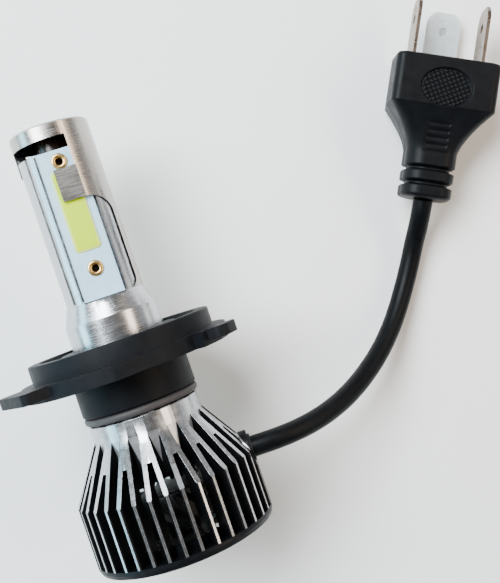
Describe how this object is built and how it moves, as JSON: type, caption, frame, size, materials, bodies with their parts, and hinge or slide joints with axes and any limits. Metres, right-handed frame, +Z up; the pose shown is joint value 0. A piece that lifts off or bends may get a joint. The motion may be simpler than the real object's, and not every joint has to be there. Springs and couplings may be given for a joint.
{
  "type": "headlight bulb",
  "caption": "LED headlight bulb with a slotted metal post, pull-off lug collar, finned fan-cooled heatsink and a short cable to a bladed plug.",
  "frame": {"origin": "centre of the collar's lug seating plane, on the lamp's axis", "axes": "+Y along the lamp's axis towards its tip, +Z up away from the bench that it lies on, with the front light board facing up, +X to the side that the cable leaves from"},
  "size_m": [0.1222, 0.0919, 0.0474],
  "materials": {
    "post_aluminium": "fine turned and milled aluminium",
    "shade_steel": "brushed along its length",
    "board_white": "white solder mask on an aluminium board",
    "phosphor": "yellow silicone phosphor",
    "brass": "bright brass",
    "copper": "enamelled copper wire",
    "collar_black": "black anodised, satin",
    "seal_grey": "grey silicone rubber",
    "black_rubber": "matt black rubber",
    "sink_aluminium": "machined edges over dark flanks",
    "cover_black": "black, satin",
    "black_plastic": "moulded black plastic",
    "plug_black": "moulded soft black plastic",
    "cable_jacket": "satin black jacket",
    "red_wire": "red insulated wire",
    "circuit_green": "green solder mask",
    "chip_black": "black moulding compound",
    "capacitor_can": "bright can",
    "ferrite": "dark ferrite",
    "steel": "plated steel",
    "tin": "bright tin plate"
  },
  "bodies": {
    "lamp": {"lamp_post": "post_aluminium", "shade_sleeve": "shade_steel", "led_board_front": "board_white", "led_board_rear": "board_white", "emitter_front": "phosphor", "emitter_rear": "phosphor", "board_eyelets": "brass", "led_wires": "red_wire", "grip_ring": "black_rubber", "heatsink": "sink_aluminium", "post_nut": "brass", "driver_board": "circuit_green", "driver_coil": "copper", "driver_capacitors": "capacitor_can", "driver_chips": "chip_black", "driver_screws": "steel", "supply_wires": "red_wire", "cable_grommet": "black_rubber", "fan_base": "black_plastic", "fan_bearing": "brass", "fan_board": "circuit_green", "fan_stator": "steel", "fan_coils": "copper", "fan_screws": "steel", "rear_cover": "cover_black", "cable": "cable_jacket", "plug_body": "plug_black", "plug_insert": "black_plastic", "plug_wires": "red_wire", "blade_left": "tin", "blade_right": "tin", "blade_middle": "tin"},
    "ring_seat": {"seal_ring": "seal_grey"},
    "collar": {"collar": "collar_black"},
    "fan": {"fan_shaft": "steel", "fan_magnet": "ferrite", "fan_rotor": "black_plastic"}
  },
  "joints": [
    {"name": "fan_spin", "type": "hinge", "parent": "lamp", "child": "fan", "pos_m": [0, -0.033, 0], "axis": [0, 1, 0], "continuous": true},
    {"name": "collar_turn", "type": "hinge", "parent": "lamp", "child": "ring_seat", "pos_m": [0, 0, 0], "axis": [0, 1, 0], "continuous": true},
    {"name": "collar_slide", "type": "slide", "parent": "ring_seat", "child": "collar", "axis": [0, 1, 0], "range_m": [0, 0.06]}
  ]
}
